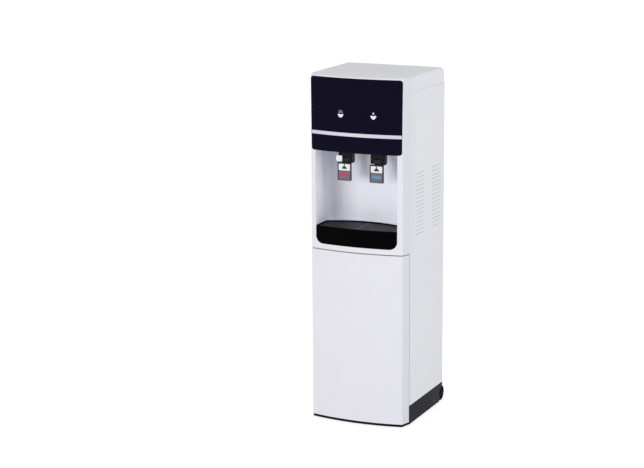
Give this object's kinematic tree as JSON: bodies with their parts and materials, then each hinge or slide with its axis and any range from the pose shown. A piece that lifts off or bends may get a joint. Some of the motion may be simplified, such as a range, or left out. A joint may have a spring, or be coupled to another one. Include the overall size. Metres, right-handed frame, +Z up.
{
  "type": "bottom load water cooler",
  "caption": "Free-standing bottom load water cooler with hot and cold taps, a drip tray and a hinged door over the bottle bay.",
  "frame": {"origin": "on the floor, in the middle of the footprint", "axes": "+Z up, the front with the taps and the door faces -Y, +X to the viewer's right"},
  "size_m": [0.32, 0.36, 1.08],
  "materials": {
    "cabinet_white": "satin moulded",
    "door_inner_white": "vacuum formed",
    "panel_steel": "fine powder coat",
    "fascia_gloss": "high gloss",
    "silver_trim": "pearl silver",
    "icon_lens": "smoked lens with a printed symbol",
    "base_black": "moulded",
    "tray_black": "gloss moulded",
    "tap_black": "moulded",
    "lever_grey": "moulded",
    "label_white": "inlaid label",
    "button_white": "moulded",
    "steel": "plated",
    "bush_white": "moulded nylon",
    "tank_steel": "drawn stainless",
    "heater_steel": "mica band with a steel jacket",
    "zinc_sheet": "galvanised",
    "floor_white": "powder coat",
    "lining_grey": "moulded",
    "foam": "expanded foam",
    "copper": "drawn copper",
    "compressor_black": "enamel",
    "condenser_black": "enamel",
    "rubber_black": "moulded",
    "wheel_black": "moulded",
    "silicone": "translucent silicone",
    "probe_white": "moulded",
    "bottle_clear": "clear blue tinted polycarbonate",
    "cap_blue": "moulded",
    "pump_black": "moulded",
    "control_grey": "moulded",
    "board_green": "coated laminate",
    "socket_black": "moulded",
    "switch_red": "moulded",
    "switch_green": "moulded"
  },
  "bodies": {
    "cabinet": {"alcove_liner": "cabinet_white", "back_panel": "panel_steel", "base_tray": "base_black", "bay_linings": "lining_grey", "bottle": "bottle_clear", "bottle_cap": "cap_blue", "bottle_probe": "probe_white", "catch_blocks": "base_black", "cold_tank": "tank_steel", "cold_tap": "tap_black", "compressor": "compressor_black", "compressor_grommets": "rubber_black", "condenser": "condenser_black", "condenser_wires": "condenser_black", "control_box": "control_grey", "evaporator_coil": "copper", "fascia_panel": "fascia_gloss", "fascia_trim": "silver_trim", "feed_hose": "silicone", "filter_drier": "copper", "floor_plate": "floor_white", "front_housing": "cabinet_white", "heater_band": "heater_steel", "hinge_pins": "steel", "hose_bulkhead": "steel", "hot_tank": "tank_steel", "hot_tap": "tap_black", "indicator_board": "board_green", "indicator_lenses": "icon_lens", "left_side_panel": "panel_steel", "middle_deck": "zinc_sheet", "power_inlet": "socket_black", "refrigerant_lines": "copper", "right_side_panel": "panel_steel", "switch_housings": "socket_black", "tank_insulation": "foam", "tank_shelf": "zinc_sheet", "tap_nuts": "bush_white", "top_cover": "cabinet_white", "water_lines": "silicone", "water_pump": "pump_black", "wheel_axles": "steel"},
    "door": {"door_panel": "cabinet_white", "door_liner": "door_inner_white", "door_bushes": "bush_white", "door_strikes": "steel"},
    "hot_lever": {"hot_lever": "lever_grey", "hot_lever_label": "label_white"},
    "cold_lever": {"cold_lever": "lever_grey", "cold_lever_label": "label_white"},
    "lock_button": {"lock_button": "button_white"},
    "tray": {"drip_tray": "tray_black"},
    "grille": {"drip_grille": "tray_black"},
    "left_foot": {"left_foot": "rubber_black"},
    "right_foot": {"right_foot": "rubber_black"},
    "left_wheel": {"left_wheel": "wheel_black"},
    "right_wheel": {"right_wheel": "wheel_black"},
    "hot_switch": {"hot_switch": "switch_red"},
    "cold_switch": {"cold_switch": "switch_green"},
    "drain_cap": {"drain_cap": "rubber_black"}
  },
  "joints": [
    {"name": "door_hinge", "type": "hinge", "parent": "cabinet", "child": "door", "pos_m": [-0.147, -0.1415, 0.277], "axis": [0, 0, -1], "range_deg": [0, 110]},
    {"name": "hot_lever_pivot", "type": "hinge", "parent": "cabinet", "child": "hot_lever", "pos_m": [-0.053, -0.121, 0.822], "axis": [1, 0, 0], "range_deg": [0, 12], "stiffness_Nm_per_rad": 0.5, "springref_deg": -5.73},
    {"name": "cold_lever_pivot", "type": "hinge", "parent": "cabinet", "child": "cold_lever", "pos_m": [0.053, -0.121, 0.822], "axis": [1, 0, 0], "range_deg": [0, 12], "stiffness_Nm_per_rad": 0.5, "springref_deg": -5.73},
    {"name": "lock_button_press", "type": "slide", "parent": "cabinet", "child": "lock_button", "axis": [0, 1, 0], "range_m": [0, 0.003], "stiffness_N_per_m": 400, "springref_m": -0.002},
    {"name": "tray_slide", "type": "slide", "parent": "cabinet", "child": "tray", "axis": [0, -1, 0], "range_m": [0, 0.12]},
    {"name": "grille_lift", "type": "slide", "parent": "tray", "child": "grille", "axis": [0, 0, 1], "range_m": [0, 0.05]},
    {"name": "left_foot_screw", "type": "slide", "parent": "cabinet", "child": "left_foot", "axis": [0, 0, -1], "range_m": [0, 0.012]},
    {"name": "right_foot_screw", "type": "slide", "parent": "cabinet", "child": "right_foot", "axis": [0, 0, -1], "range_m": [0, 0.012]},
    {"name": "left_wheel_spin", "type": "hinge", "parent": "cabinet", "child": "left_wheel", "pos_m": [-0.145, 0.155, 0.025], "axis": [1, 0, 0], "continuous": true},
    {"name": "right_wheel_spin", "type": "hinge", "parent": "cabinet", "child": "right_wheel", "pos_m": [0.145, 0.155, 0.025], "axis": [1, 0, 0], "continuous": true},
    {"name": "hot_switch_rock", "type": "hinge", "parent": "cabinet", "child": "hot_switch", "pos_m": [0.072, 0.1508, 0.985], "axis": [1, 0, 0], "range_deg": [0, 12]},
    {"name": "cold_switch_rock", "type": "hinge", "parent": "cabinet", "child": "cold_switch", "pos_m": [0.104, 0.1508, 0.985], "axis": [1, 0, 0], "range_deg": [0, 12]},
    {"name": "drain_cap_pull", "type": "slide", "parent": "cabinet", "child": "drain_cap", "axis": [0, 1, 0], "range_m": [0, 0.02]}
  ]
}
